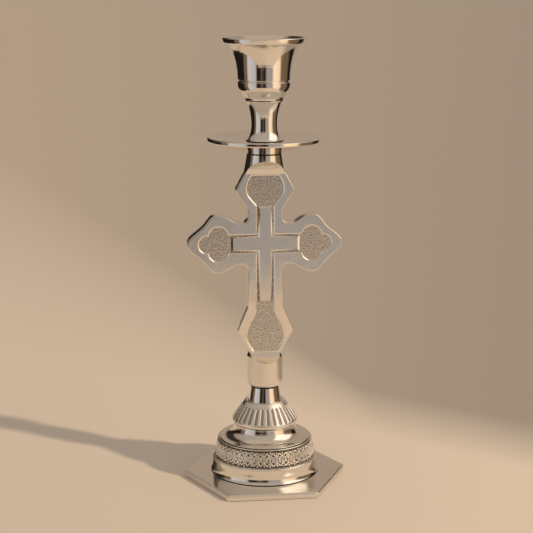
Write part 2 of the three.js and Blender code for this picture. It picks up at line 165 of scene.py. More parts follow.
# ---------------------------------------------------------------- meshes
def piece(name, vertices, faces, material, body, nodes=(), slot="polished_silver", sharp=40):
    mesh = bpy.data.meshes.new(name)
    mesh.from_pydata([tuple(v) for v in np.asarray(vertices) * MM], [], faces)
    soften(mesh, sharp)
    obj = bpy.data.objects.new(f"{name}_finished", mesh)
    bpy.context.scene.collection.objects.link(obj)
    mesh.materials.append(material)
    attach(obj, body)
    if nodes:
        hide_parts(*nodes)
    return obj


def soften(mesh, sharp):
    """Joins doubled points, faces every side outwards and shades it smooth up to an angle."""
    bm = bmesh.new()
    bm.from_mesh(mesh)
    bmesh.ops.remove_doubles(bm, verts=bm.verts, dist=0.002 * MM)
    bmesh.ops.dissolve_degenerate(bm, edges=bm.edges, dist=0.001 * MM)
    bmesh.ops.recalc_face_normals(bm, faces=bm.faces)
    bm.to_mesh(mesh)
    bm.free()
    shade(mesh, sharp)


def shade(mesh, sharp):
    """Smooth shading, broken where two faces turn by more than sharp degrees."""
    mesh.shade_smooth()
    mesh.set_sharp_from_angle(angle=math.radians(sharp))


def paint_joint_shade(obj, *levels, reach=0.03, flatness=0.95):
    """Paints shade on the flat ends of a piece at the given levels, where it meets its neighbour."""
    obj.data.materials.append(PAINTED_JOINT_SHADE)
    last = len(obj.data.materials) - 1
    for face in obj.data.polygons:
        near = min(abs(face.center.z / MM - level) for level in levels) < reach
        if near and abs(face.normal.z) >= flatness:
            face.material_index = last


def wrap(rings):
    """Vertices and faces of a closed sheet through rings, an array of (ring, step round the axis, xyz)."""
    rows, columns = rings.shape[:2]
    faces = []
    for j in range(rows):
        k = (j + 1) % rows
        for i in range(columns):
            n = (i + 1) % columns
            faces.append((j * columns + i, j * columns + n, k * columns + n, k * columns + i))
    return rings.reshape(-1, 3), faces


def capped(faces, last, count):
    """Faces of wrap() without its last row, and with flat ends on the first and last rings."""
    return faces[:-count] + [tuple(range(count)), tuple(range(last - count, last))[::-1]]


def revolve(section, segments):
    angles = np.linspace(0, 2 * math.pi, segments, endpoint=False)
    section = np.array([tuple(p) for p in section])
    rings = np.empty((len(section), segments, 3))
    rings[..., 0] = section[:, None, 0] * np.cos(angles)
    rings[..., 1] = section[:, None, 0] * np.sin(angles)
    rings[..., 2] = section[:, None, 1]
    return rings


def around(radius, levels, angles):
    """Points at each angle round the axis, from a grid of radii and of levels."""
    x, y = radius * np.cos(angles), radius * np.sin(angles)
    return np.stack([x, y, np.broadcast_to(levels, radius.shape)], axis=-1)


def turned(
    name, start, *moves, material, body, nodes, fillet=0.2, segments=160, slot="polished_silver", joints=()
):
    """A turned piece from its closed section of (radius, level), drawn with the outside going up.

    Its flat ends at the levels of joints carry painted shade."""
    points, corners = trace(start, *moves)
    on_axis = [p.x < 1e-6 for p in points]
    corners = [c and not a for c, a in zip(corners, on_axis)]
    closed = not (on_axis[0] and on_axis[-1])
    vertices, faces = wrap(revolve(rounded(points, corners, fillet, closed), segments))
    if not closed:
        faces = faces[:-segments]
    obj = piece(name, vertices, faces, material, body, nodes, slot)
    if joints:
        paint_joint_shade(obj, *joints)
    return obj


# ---------------------------------------------------------------- materials
class Nodes:
    """A short way to lay out a material's or a world's nodes."""

    def __init__(self, owner):
        owner.use_nodes = True
        self.tree = owner.node_tree
        self.tree.nodes.clear()

    def add(self, kind, **inputs):
        node = self.tree.nodes.new(kind)
        for key, value in inputs.items():
            self.put(node, key.replace("_", " "), value)
        return node

    def put(self, node, key, value):
        self.connect(node.inputs[key], value)

    def connect(self, socket, value):
        if isinstance(value, bpy.types.NodeSocket):
            self.tree.links.new(value, socket)
        else:
            socket.default_value = value

    def math(self, operation, *values, clamp=False):
        node = self.tree.nodes.new("ShaderNodeMath")
        node.operation = operation
        node.use_clamp = clamp
        for i, value in enumerate(values):
            self.put(node, i, value)
        return node.outputs[0]

    def noise(self, vector, scale, detail=3.0, rough=0.5):
        node = self.add("ShaderNodeTexNoise", Vector=vector, Scale=scale, Detail=detail, Roughness=rough)
        return node.outputs[0]

    def stretched(self, scale):
        """Object coordinates with each axis scaled, for scratches that run one way."""
        coordinates = self.add("ShaderNodeTexCoord").outputs["Object"]
        mapping = self.add("ShaderNodeMapping", Vector=coordinates)
        mapping.inputs["Scale"].default_value = scale
        return mapping.outputs[0]

    def spread(self, value, low_in, high_in, low_out, high_out):
        node = self.add("ShaderNodeMapRange")
        ends = {"From Min": low_in, "From Max": high_in, "To Min": low_out, "To Max": high_out}
        for key, number in ends.items():
            node.inputs[key].default_value = number
        self.put(node, "Value", value)
        return node.outputs[0]

    def blend(self, factor, first, second):
        node = self.add("ShaderNodeMix")
        node.data_type = "RGBA"
        sockets = {s.identifier: s for s in node.inputs}
        for key, value in (("Factor_Float", factor), ("A_Color", first), ("B_Color", second)):
            self.connect(sockets[key], value)
        return next(s for s in node.outputs if s.identifier == "Result_Color")

    def bump(self, height, strength, distance, normal=None):
        node = self.add("ShaderNodeBump", Height=height, Strength=strength, Distance=distance)
        if normal:
            self.put(node, "Normal", normal)
        return node.outputs[0]


def metal(colour, roughness, normal, nodes, owner):
    shader = nodes.add(
        "ShaderNodeBsdfPrincipled", Metallic=1.0, Base_Color=colour, Roughness=roughness, Normal=normal
    )
    nodes.add("ShaderNodeOutputMaterial", Surface=shader.outputs[0])
    return owner


SILVER = (0.90, 0.865, 0.81, 1)
SILVER_WARM = (0.83, 0.76, 0.66, 1)
TARNISH = (0.13, 0.10, 0.075, 1)


def polished(name, stretch, base_roughness=0.085, wobble=0.35):
    """Hand-polished silver plate: slight waves in its surface, wiping scratches and faint yellow tarnishing.
    """
    owner = bpy.data.materials.new(name)
    nodes = Nodes(owner)
    even = nodes.stretched((1, 1, 1))
    clouds = nodes.noise(even, 38, 4)
    colour = nodes.blend(nodes.spread(clouds, 0.52, 0.74, 0, 0.55), SILVER, SILVER_WARM)
    haze = nodes.noise(even, 150, 5, 0.65)
    roughness = nodes.spread(haze, 0.35, 0.75, base_roughness * 0.7, base_roughness * 1.9)
    waves = nodes.bump(nodes.noise(even, 90, 1), wobble, 0.0004)
    scratches = nodes.noise(nodes.stretched(stretch), 1100, 3, 0.7)
    normal = nodes.bump(scratches, 0.10, 0.00006, waves)
    return metal(colour, roughness, normal, nodes, owner)


def stippled():
    """Matt punched ground of the cross's sunk panels."""
    owner = bpy.data.materials.new("stippled_silver")
    nodes = Nodes(owner)
    even = nodes.stretched((1, 1, 1))
    pits = nodes.noise(even, 1650, 2, 0.6)
    pit, top = (0.43, 0.385, 0.335, 1), (0.86, 0.83, 0.79, 1)
    colour = nodes.blend(nodes.spread(pits, 0.38, 0.56, 0, 1), pit, top)
    normal = nodes.bump(pits, 0.75, 0.00022)
    return metal(colour, 0.27, normal, nodes, owner)


def chased(name, ground, rubbed_from, rubbed_to):
    """Bright rubbed tops over a dark, rough ground.

    The mesh's "raised" value says how high each point stands. It turns bright between the given heights."""
    owner = bpy.data.materials.new(name)
    nodes = Nodes(owner)
    even = nodes.stretched((1, 1, 1))
    raised = nodes.add("ShaderNodeAttribute")
    raised.attribute_name = "raised"
    grit = nodes.noise(even, 2100, 4, 0.75)
    edge = nodes.math("ADD", raised.outputs["Fac"], nodes.spread(grit, 0.3, 0.7, -0.38, 0.38))
    rubbed = nodes.spread(edge, rubbed_from, rubbed_to, 0, 1)
    colour = nodes.blend(rubbed, ground, SILVER)
    roughness = nodes.spread(rubbed, 0, 1, 0.5, 0.17)
    depth = nodes.math("MULTIPLY", grit, nodes.spread(rubbed, 0, 1, 1, 0.35))
    normal = nodes.bump(depth, 0.8, 0.00022)
    return metal(colour, roughness, normal, nodes, owner)


def painted_joint_shade():
    """Painted shade, nearly black, on the faces that meet inside a joint."""
    owner = bpy.data.materials.new("painted_joint_shade")
    nodes = Nodes(owner)
    grit = nodes.noise(nodes.stretched((1, 1, 1)), 900, 3)
    colour = nodes.blend(grit, (0.015, 0.012, 0.010, 1), (0.05, 0.04, 0.03, 1))
    return metal(colour, 0.6, nodes.bump(grit, 0.3, 0.0001), nodes, owner)


def grooved():
    """Tarnish in the grooves beside the plain cross, broken up by rubbed grains."""
    owner = bpy.data.materials.new("grooved_silver")
    nodes = Nodes(owner)
    even = nodes.stretched((1, 1, 1))
    grit = nodes.noise(even, 1900, 4, 0.7)
    colour = nodes.blend(nodes.spread(grit, 0.44, 0.62, 0, 1), TARNISH, SILVER)
    return metal(colour, 0.3, nodes.bump(grit, 0.8, 0.0002), nodes, owner)


def zinc():
    """Bright zinc plating with a satin, slightly mottled face."""
    owner = bpy.data.materials.new("zinc_steel")
    nodes = Nodes(owner)
    even = nodes.stretched((1, 1, 1))
    mottle = nodes.noise(even, 260, 5, 0.6)
    colour = nodes.blend(mottle, (0.44, 0.45, 0.47, 1), (0.64, 0.64, 0.63, 1))
    roughness = nodes.spread(mottle, 0.3, 0.7, 0.24, 0.42)
    normal = nodes.bump(nodes.noise(even, 2200, 2), 0.2, 0.00006)
    return metal(colour, roughness, normal, nodes, owner)


TURNED_SILVER = polished("turned_silver", stretch=(1, 1, 14))
CAST_SILVER = polished("cast_silver", stretch=(1, 1, 1), base_roughness=0.12, wobble=0.22)
SHEET_SILVER = polished("sheet_silver", stretch=(6, 1, 1), base_roughness=0.16, wobble=0.3)
STIPPLED = stippled()
GROOVED = grooved()
CHASED = chased("chased_silver", (0.17, 0.135, 0.10, 1), 0.28, 0.7)
FLUTED = chased("fluted_silver", (0.34, 0.29, 0.23, 1), -0.1, 0.65)
# painted shade for the faces inside the joints between pieces
PAINTED_JOINT_SHADE = painted_joint_shade()
ZINC = zinc()


# ---------------------------------------------------------------- cup, neck, pan and stud
def candle_cup():
    foot = CUP_FOOT - CAD_GAP + SEAM
    turned(
        "candle_cup", (STUD_BORE, foot), (10.2, foot), ((10.3, 205.6), (13.75, 207.2), (13.9, 211.0)),
        (13.75, 212.4), (13.3, 212.75), (13.3, 213.2), (13.8, 213.6),
        ((14.1, 222.5), (15.9, 227.7), (19.2, 231.35)), (19.5, 231.5),
        ((20.9, 231.7), (21.25, 232.6), (21.5, 233.8)), (CUP_RADIUS, 234.5), (21.3, CUP_TOP), (20.4, CUP_TOP),
        ((17.2, 232.1), (12.6, 229.4), (CANDLE_BORE, 224)), (CANDLE_BORE, CANDLE_SEAT), (0, CANDLE_SEAT),
        (0, CANDLE_SEAT - FLOOR), (STUD_BORE, CANDLE_SEAT - FLOOR),
        material=TURNED_SILVER, body="cup", nodes=["candle_cup"], fillet=0.25, joints=[foot],
    )


def cup_neck():
    top = CUP_FOOT - CAD_GAP - SEAM
    foot = NECK_FOOT - CAD_GAP + SEAM
    spigot, waist = 6.5, 6.85
    neck = turned(
        "cup_neck", (STUD_BORE, 176.6), (spigot, 176.6), (spigot, 177.7), (5.4, 177.7), (5.4, SPIGOT_STEP),
        (spigot, SPIGOT_STEP), (spigot, foot), (9.3, foot), ((7.6, 183.6), (waist, 187.5), (waist, 190.7)),
        ((waist, 195.5), (8.1, 199.6), (9.9, top - 0.3)), (9.8, top), (STUD_BORE, top),
        material=TURNED_SILVER, body="cup", nodes=["cup_neck"], fillet=0.18, joints=[foot, top],
    )
    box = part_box("neck_grub_screw")
    level = (box[0].z + box[1].z) / 2 / MM
    hole, faces = plug((1.6, 0), (1.6, 12), segments=32)
    hole = np.stack([hole[:, 0], hole[:, 2], level - hole[:, 1]], axis=-1)
    combine(neck, "DIFFERENCE", hole, faces)
    shade(neck.data, 40)


def drip_pan():
    bore = 6.8
    top = NECK_FOOT - CAD_GAP - SEAM
    seat = PAN_SEAT + CAD_GAP + SEAM
    rim = PAN_RADIUS
    turned(
        "drip_pan", (8.8, seat), (10.6, seat), ((15, 177.4), (21.5, 179.8), (rim - 0.95, PAN_RIM - 2.4)),
        ((rim - 0.2, PAN_RIM - 2.3), (rim, PAN_RIM - 1.6)), (rim, PAN_RIM - 0.4), (rim - 0.5, PAN_RIM),
        (rim - 1.2, PAN_RIM),
        ((20, 182.5), (9.8, top)), (bore, top), (bore, SPIGOT_STEP), (8.8, SPIGOT_STEP),
        material=TURNED_SILVER, body="pan", nodes=["drip_pan"], fillet=0.3, segments=220, joints=[seat, top],
    )


def retaining_ring():
    bottom, top = low("pan_retaining_ring"), high("pan_retaining_ring")
    inner, outer = 5.7, 8.2
    mouth = math.asin(3.5 / outer)
    section = rounded(*trace((inner, bottom), (outer, bottom), (outer, top), (inner, top)), 0.1)
    split_ring("pan_retaining_ring", section, math.pi / 2 + mouth, 2.5 * math.pi - mouth, "cup")


def split_ring(name, section, first, last, body, lift=0.0):
    """A section swept round the axis from one angle to another. It rises by lift a radian."""
    rings = np.array([
        [(p.x * math.cos(a), p.x * math.sin(a), p.y + lift * a) for p in section]
        for a in np.linspace(first, last, 97)
    ])
    vertices, faces = wrap(rings)
    piece(name, vertices, capped(faces, len(vertices), len(section)), ZINC, body, [name], "zinc_steel")


def threaded(name, radius, pitch, bottom, top, body):
    """A rod with a rolled 60 degree thread and chamfered ends."""
    rows = 10 * int((top - bottom) / pitch)
    segments = 48
    depth = 0.6 * pitch
    levels = np.linspace(bottom, top, rows + 1)
    angles = np.linspace(0, 2 * math.pi, segments, endpoint=False)
    turns = levels[:, None] / pitch - angles[None, :] / (2 * math.pi)
    ramp = np.clip(1.25 - 2.9 * np.abs(turns % 1 - 0.5), 0, 1)
    edge = np.minimum(levels - bottom, top - levels)[:, None]
    size = np.minimum(radius - depth * (1 - ramp), radius - depth - 0.3 + edge)
    rings = around(size, levels[:, None], angles)
    caps = [rings[0] * (0, 0, 1), rings[-1] * (0, 0, 1)]
    vertices, faces = wrap(np.concatenate([[caps[0]], rings, [caps[1]]]))
    faces = faces[:-segments]
    piece(name, vertices, faces, ZINC, body, [name], "zinc_steel")


def grub_screw():
    """A set screw along Y, with its hexagon socket at the back."""
    level = (low("neck_grub_screw") + high("neck_grub_screw")) / 2
    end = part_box("neck_grub_screw")[1].y / MM
    segments = 36
    points, corners = trace(
        (0, 3.4), (1.2, 3.4), (1.5, 3.8), (1.5, end - 0.25), (1.3, end), (0.9, end), (0.8, end - 1.2),
        (0, end - 1.2),
    )
    rings = revolve(rounded(points, [c and p.x > 0 for p, c in zip(points, corners)], 0.06, False), segments)
    socket = rings[-3:]
    angles = np.linspace(0, 2 * math.pi, segments, endpoint=False)
    socket[..., :2] *= (math.cos(math.pi / 6) * hexagon(angles))[None, :, None]
    vertices, faces = wrap(rings)
    vertices = np.stack([vertices[:, 0], vertices[:, 2], level - vertices[:, 1]], axis=-1)
    piece("neck_grub_screw", vertices, faces[:-segments], ZINC, "cup", ["neck_grub_screw"], "zinc_steel")


def hexagon(angles):
    """Distance from the axis to a hexagon whose flats are 1 from it, for each angle."""
    return 1 / np.cos(angles % (math.pi / 3) - math.pi / 6)


# ---------------------------------------------------------------- cross
GROUND = 0.38                            # depth of the stippled ground
GROOVE = 0.62                            # depth of the groove round the plain cross
SLOPE = 0.56                             # how steeply both fall away from the face
CHANNEL = 2.2
BAR = {"half": 2.85, "low": 97.5, "high": 147.0}
ARM = {"half": 3.25, "reach": 17.0}
TREFOIL = {"x": 24.6, "dz": 4.0, "radius": 5.85, "tip_x": 30.4, "tip_radius": 5.2}
EDGE = 0.55                              # rounding of the cross's outer edges
FAR = 9                                  # a distance beyond the reach of any line of relief


def mirrored(points):
    return points + [Vector((-p.x, p.y)) for p in reversed(points)]


def cross_outline():
    a = ARM_LEVEL
    points, corners = trace(
        (7.4, 168.5), (10.9, 165.2), (15.6, 156.6), (9.2, 146.7), (9.1, a + 14.8),
        ((9.1, a + 10.9), (12.8, a + 10.9)), ((17.4, a + 10.9), (19.3, a + 15.5), (25.2, a + 15.5)),
        ((28.7, a + 15.5), (30, a + 12.1), (32.3, a + 9.5)), ((34.8, a + 6.7), (41, a + 3.5), (ARM_TIP, a)),
        ((41, a - 3.5), (34.8, a - 6.7), (32.3, a - 9.5)),
        ((30, a - 12.1), (28.7, a - 15.5), (25.2, a - 15.5)),
        ((19.3, a - 15.5), (17.4, a - 10.9), (12.8, a - 10.9)),
        ((9.1, a - 10.9), (9.1, a - 14.8)), (9.5, 94.3),
        (15.0, 81.3), (8.4, 69.3), (6.5, 62),
    )
    return mirrored(rounded(points, corners, 0.8, False, hold=False))


def relief_edge():
    """Edge of the sunk area: a bulb at each end of the stem, a trefoil on each arm, channels between them."""
    side, arm = BAR["half"] + CHANNEL, ARM["half"] + CHANNEL
    m = ARM_LEVEL
    begin = math.pi - math.asin((arm - TREFOIL["dz"]) / TREFOIL["radius"])
    meet = 0.066 * math.pi

    def lobe(x, dz, radius, first, last):
        turns = np.linspace(first, last, 16)
        return [Vector((x + radius * math.cos(t), m + dz + radius * math.sin(t))) for t in turns]

    upper = lobe(TREFOIL["x"], TREFOIL["dz"], TREFOIL["radius"], begin, meet)
    tip = lobe(TREFOIL["tip_x"], 0, TREFOIL["tip_radius"], math.pi / 2 - 0.05, 0.05 - math.pi / 2)
    lower = lobe(TREFOIL["x"], -TREFOIL["dz"], TREFOIL["radius"], -meet, -begin)
    bulb = 10.3
    top, _ = trace(
        (7.3, 164.9), ((bulb, 161.3), (bulb, 156.9)), ((bulb, 153.4), (7.2, 151), (side, 148.2)),
        (side, m + arm),
    )
    bottom, _ = trace(
        (side, m - arm), (side + 0.3, 93), ((side + 0.3, 88.5), (bulb, 85), (bulb, 78.4)),
        ((bulb, 75), (8.3, 72), (6.4, 69.7)),
    )
    return mirrored(top + upper + tip + lower + bottom)


def plain_cross(grow):
    """The plain cross left standing in the relief, grown by a width. It runs on below its lower end."""
    m = ARM_LEVEL
    half, arm, reach = BAR["half"] + grow, ARM["half"] + grow, ARM["reach"] + grow
    right = [
        (half, BAR["high"] + grow), (half, m + arm), (reach, m + arm), (reach, m - arm), (half, m - arm),
        (half, BAR["low"]),
    ]
    return mirrored([Vector(p) for p in right])


def smooth(t):
    """A soft step from 0 to 1."""
    return t * t * (3 - 2 * t)


def inset(loop, distance):
    """The same closed loop, drawn from the top clockwise, moved in by a distance."""
    result = []
    count = len(loop)
    for i, here in enumerate(loop):
        a = (here - loop[i - 1]).normalized()
        b = (loop[(i + 1) % count] - here).normalized()
        normal_a, normal_b = Vector((a.y, -a.x)), Vector((b.y, -b.x))
        mid = (normal_a + normal_b).normalized()
        result.append(here + mid * (distance / max(0.5, mid.dot(normal_a))))
    return result


def distance_to(points, loop, closed=True):
    """Distance of each point to a line, as arrays."""
    line = np.array([tuple(p) for p in loop])
    a, b = line, np.roll(line, -1, axis=0)
    if not closed:
        a, b = a[:-1], b[:-1]
    best = np.full(len(points), 1e9)
    for start, end in zip(a, b):
        run = end - start
        t = np.clip(((points - start) @ run) / max(run @ run, 1e-12), 0, 1)
        best = np.minimum(best, np.hypot(*(points - start - t[:, None] * run).T))
    return best


def inside(points, loop):
    line = np.array([tuple(p) for p in loop])
    result = np.zeros(len(points), bool)
    for (x1, z1), (x2, z2) in zip(line, np.roll(line, -1, axis=0)):
        if z1 == z2:
            continue
        crosses = (z1 > points[:, 1]) != (z2 > points[:, 1])
        result ^= crosses & (points[:, 0] < (x2 - x1) * (points[:, 1] - z1) / (z2 - z1) + x1)
    return result


def relief_depth(points):
    """Depth of the relief below the face, and how far each point lies out on the stippled ground."""
    edge, bar = relief_edge(), plain_cross(0)
    from_edge = distance_to(points, edge) * inside(points, edge)
    outside_bar = ~inside(points, bar)
    from_bar = distance_to(points, bar) * outside_bar
    below = points[:, 1] < BAR["low"]
    near = np.clip((from_bar - CHANNEL / 2) / 0.3, 0, 1)
    floor = np.where(below, GROUND, GROOVE + (GROUND - GROOVE) * near)
    fall = np.where(below, np.clip((BAR["low"] - points[:, 1]) * 2.5, 0, 1) * FAR, from_bar * SLOPE)
    beside = np.abs(points[:, 0]) > BAR["half"]
    fall = np.where(below & beside, FAR, fall)
    depth = np.minimum(np.minimum(from_edge * SLOPE, fall), floor)
    away = np.minimum(from_edge - GROUND / SLOPE, np.where(below, FAR, from_bar - CHANNEL / 2 - 0.3))
    return depth, np.clip(away / 0.5, 0, 1)


def grain(points, cell, seed):
    """Smooth random heights between -1 and 1 on a grid of cells."""
    rng = np.random.default_rng(seed)
    field = rng.uniform(-1, 1, (512, 512))
    u = points / cell + 256
    base = np.floor(u).astype(int)
    t = u - base
    t = smooth(t)
    x, z = base[:, 0] % 511, base[:, 1] % 511
    top = field[x, z] * (1 - t[:, 0]) + field[x + 1, z] * t[:, 0]
    bottom = field[x, z + 1] * (1 - t[:, 0]) + field[x + 1, z + 1] * t[:, 0]
    return top * (1 - t[:, 1]) + bottom * t[:, 1]


def face_points(rim):
    """Points and fixed lines of one face.

    They are its rim, the lines where the relief changes its slope, and a grid on the stippled ground."""
    loops = [rim, inset(rim, 0.12), relief_edge(), inset(relief_edge(), GROUND / SLOPE)]
    loops += [plain_cross(grow) for grow in (-0.12, 0, CHANNEL / 2, CHANNEL / 2 + 0.3)]
    step = 0.33
    xs, zs = np.arange(-36.5, 36.5, step), np.arange(69, 165, step * 0.87)
    grid = np.array([(x + (step / 2 if j % 2 else 0), z) for j, z in enumerate(zs) for x in xs])
    _, away = relief_depth(grid)
    grid = grid[away > 0.35]
    points = [tuple(p) for loop in loops for p in loop] + [tuple(p) for p in grid]
    edges, first = [], 0
    for loop in loops:
        count = len(loop)
        edges += [(first + i, first + (i + 1) % count) for i in range(count)]
        first += count
    return points, edges


def cross_face(rim, side, seed):
    """One face of the cross as points and triangles. side is -1 at the front and 1 at the back."""
    points, edges = face_points(rim)
    found = delaunay_2d_cdt([Vector(p) for p in points], edges, [], 0, 1e-4)
    flat = np.array([tuple(p) for p in found[0]])
    triangles = np.array(found[2])
    centres = flat[triangles].mean(axis=1)
    triangles = triangles[inside(centres, rim)]
    depth, away = relief_depth(flat)
    stipple = 0.038 * grain(flat, 0.55, seed) + 0.02 * grain(flat, 0.9, seed + 1)
    depth = depth + away * stipple
    y = side * (CROSS_HALF - depth)
    return np.stack([flat[:, 0], y, flat[:, 1]], axis=-1), triangles


def cross_slab():
    outline = cross_outline()
    steps = [math.radians(a) for a in range(0, 91, 15)]
    rings = []
    for side in (-1, 1):
        arc = [(EDGE * (1 - math.cos(a)), CROSS_HALF - EDGE * (1 - math.sin(a))) for a in steps]
        rings += [(i, side * y) for i, y in (reversed(arc) if side < 0 else arc)]
    loops = [(inset(outline, i) if i > 1e-6 else outline, y) for i, y in rings]
    walls = np.array([[(p.x, y, p.y) for p in loop] for loop, y in loops])
    vertices, faces = wrap(walls)
    faces = faces[:-len(outline)]
    rim = inset(outline, EDGE)
    vertices = list(vertices)
    for side, seed in ((-1, 3), (1, 11)):
        points, triangles = cross_face(rim, side, seed)
        faces += [tuple(int(i) + len(vertices) for i in t) for t in triangles]
        vertices += list(points)
    return vertices, faces


def boss(levels, radius, cut):
    """A round boss whose front and back are taken back to the distance cut(level) from the middle plane."""
    rings = []
    quarter = 24
    for z in levels:
        r, s = radius(z), min(cut(z), radius(z) - 1e-4)
        corner = math.asin(s / r)
        flat = math.sqrt(r * r - s * s)
        ring = []
        for turn in (1, -1):
            arc = np.linspace(-corner, corner, 2 * quarter + 1)
            ring += [(turn * r * math.cos(a), turn * r * math.sin(a), z) for a in arc]
            run = np.linspace(flat, -flat, quarter + 1)[1:-1]
            ring += [(turn * x, turn * s, z) for x in run]
        rings.append(ring)
    rings = np.array(rings)
    vertices, faces = wrap(rings)
    return vertices, capped(faces, len(vertices), rings.shape[1])


SINK = 0.02                              # how far a boss starts below the cross's face


def upper_boss():
    """A boss that narrows upwards. Its front and back swell out of the cross's faces."""
    foot = 165

    def radius(z):
        t = (z - foot) / (PAN_SEAT - foot)
        edge = max(0, 0.25 - (PAN_SEAT - z))
        return 11.15 * (1 - t) ** 2 + 2 * 9.95 * t * (1 - t) + 9.2 * t * t - edge

    def cut(z):
        t = min(1.6, (z - foot) / 7.3)
        return CROSS_HALF - SINK + 1.32 * t * (1 - t) + 5.9 * t * t

    levels = np.concatenate([np.linspace(foot, 172, 36), np.linspace(172.3, 175, 10), [175.15, PAN_SEAT]])
    return boss(levels, radius, cut)


def lower_boss():
    """A boss with a round foot, full below its scoops and cut back to the cross's faces over them."""
    bottom = low("cross_body")
    round_foot = 3.8
    scoop_low, top = 64.1, 69.3
    uncut = 20

    def radius(z):
        t = min(1, (z - bottom) / round_foot)
        shrink = max(0, z - 66.9) * 0.45
        return 8.4 + 1.2 * math.sqrt(1 - (1 - t) ** 2) - shrink

    def cut(z):
        t = max(0, (top - z) / 4.9)
        return uncut if z < scoop_low else CROSS_HALF - SINK + 3.6 * t * (1 - t) + 5.6 * t * t

    levels = np.concatenate([
        bottom + round_foot * np.linspace(0, 1, 12) ** 2,
        np.linspace(55.5, 64, 10),
        np.linspace(64.15, top, 40),
    ])
    return boss(levels, radius, cut)


def cross_body():
    body = piece("cross_body", *cross_slab(), CAST_SILVER, "stand", ["cross_body"], sharp=18)
    for material in (STIPPLED, GROOVED):
        body.data.materials.append(material)
    for maker in (upper_boss, lower_boss):
        combine(body, "UNION", *maker())
    centres = np.array([tuple(p.center / MM) for p in body.data.polygons])
    depth, away = relief_depth(centres[:, [0, 2]])
    sunk = np.abs(np.abs(centres[:, 1]) - (CROSS_HALF - depth)) < 0.15
    kinds = np.where(sunk & (away > 0.05), 1, np.where(sunk & (depth > 0.34) & (away == 0), 2, 0))
    body.data.polygons.foreach_set("material_index", kinds.astype(np.int32))
    # painted shade on the cross's flat ends, where it meets the base neck and the pan
    paint_joint_shade(body, low("cross_body"), PAN_SEAT)
    shade(body.data, 18)


def combine(obj, operation, vertices, faces):
    """Joins a closed shape to a piece, or cuts it away."""
    tool = piece("tool", vertices, faces, obj.data.materials[0], "stand")
    change = obj.modifiers.new("change", "BOOLEAN")
    change.operation = operation
    change.solver = "MANIFOLD"
    change.object = tool
    apply_modifiers(obj)
    bpy.data.objects.remove(tool)


def apply_modifiers(obj):
    bpy.context.view_layer.update()
    graph = bpy.context.evaluated_depsgraph_get()
    mesh = bpy.data.meshes.new_from_object(obj.evaluated_get(graph))
    old = obj.data
    obj.modifiers.clear()
    obj.data = mesh
    bpy.data.meshes.remove(old)


# ---------------------------------------------------------------- foot
def base_neck():
    top = NECK_TOP + CAD_GAP - SEAM
    neck = turned(
        "base_neck", (ROD_BORE, COLLAR_SEAT), (9, COLLAR_SEAT), (9, COLLAR_TOP), (7.6, top - 0.8),
        (7.1, top - 0.6), (7.1, top), (ROD_BORE, top),
        material=TURNED_SILVER, body="stand", nodes=["base_neck"], fillet=0.1,
    )
    # painted shade over the neck's top end and chamfer, under the cross's lower boss
    paint_joint_shade(neck, top, reach=0.65, flatness=0)


RIBS = 30
RIB_STEPS = 20
FLUTE_DEPTH = 0.42


def fluted_collar():
    """Domed collar with raised, round-topped ribs between sunk, rough flutes."""
    bottom = BELL_TOP + CAD_GAP + SEAM
    land = trace((ROD_BORE, bottom), (16.4, bottom), ((17.3, bottom), (17.4, 30.9)), (17.4, 31.9))
    flank = [Vector((17.4, 31.9))] + bend((17.4, 31.9), ((16.75, 33.6), (14.1, 37.2)), (11.9, 40.4), 44)
    crown = trace(
        (11.9, 40.4), ((11.1, 41.5), (10.6, 42.1)), (9.6, COLLAR_TOP), (9.05, COLLAR_TOP - 0.1),
        (9.05, COLLAR_SEAT), (ROD_BORE, COLLAR_SEAT),
    )
    section = land[0] + flank[1:] + crown[0][1:]
    segments = RIBS * RIB_STEPS
    rings = revolve(section, segments)
    radius = np.array([p.x for p in section])[:, None]
    along = np.concatenate([[0], np.cumsum([(b - a).length for a, b in zip(section, section[1:])])])[:, None]
    start, end = along[len(land[0])], along[len(land[0]) + len(flank) - 3]
    turn = (np.arange(segments) / RIB_STEPS) % 1 - 0.5
    across = np.abs(turn)[None, :] * radius * 2 * math.pi / RIBS
    half = radius * 2 * math.pi / RIBS * 0.31
    beyond = np.maximum(0, np.maximum(start + half - along, along - end + half))
    inward = half - np.hypot(across, beyond)
    on_flank = (along > start) & (along < end)
    sunk = smooth(np.clip(inward / 0.42, 0, 1)) * on_flank
    scale = 1 - FLUTE_DEPTH * sunk / np.maximum(radius, 1)
    rings[..., :2] *= scale[..., None]
    rings[..., 2] -= 0.16 * sunk
    vertices, faces = wrap(rings)
    collar = piece("fluted_collar", vertices, faces, FLUTED, "stand", ["fluted_collar"], sharp=60)
    # painted shade on the collar's foot, where it sits on the bell
    paint_joint_shade(collar, bottom)
    mark(collar, vertices, 1 - sunk.ravel())


def mark(obj, vertices, values):
    """Stores how high each point stands, for the chased materials.

    piece() may have joined points, so each looks up its own value."""
    tree = KDTree(len(vertices))
    for i, v in enumerate(vertices):
        tree.insert(Vector(v) * MM, i)
    tree.balance()
    layer = obj.data.attributes.new("raised", "FLOAT", "POINT")
    found = [values[tree.find(v.co)[1]] for v in obj.data.vertices]
    layer.data.foreach_set("value", np.array(found, np.float32))


def base_bell():
    bottom = DRUM_TOP + CAD_GAP + SEAM
    top = BELL_TOP + CAD_GAP - SEAM
    turned(
        "base_bell", (ROD_BORE, BELL_SPIGOT), (10, BELL_SPIGOT), (10, bottom), (24.35, bottom),
        (24.15, bottom + 0.3), ((18.9, 22.4), (16.8, 24.3), (16.2, top)), (ROD_BORE, top),
        material=TURNED_SILVER, body="stand", nodes=["base_bell"], segments=220, joints=[top, bottom],
    )


BAND_TOP = 21.2
BAND_LOW = 11.8
DRUM_TOP_RADIUS = 25.25
DRUM_TAPER = 0.2                         # gain in radius for each millimetre down


def drum_radius(level):
    """The drum's tapered face beside the band."""
    return DRUM_TOP_RADIUS + (DRUM_TOP - level) * DRUM_TAPER


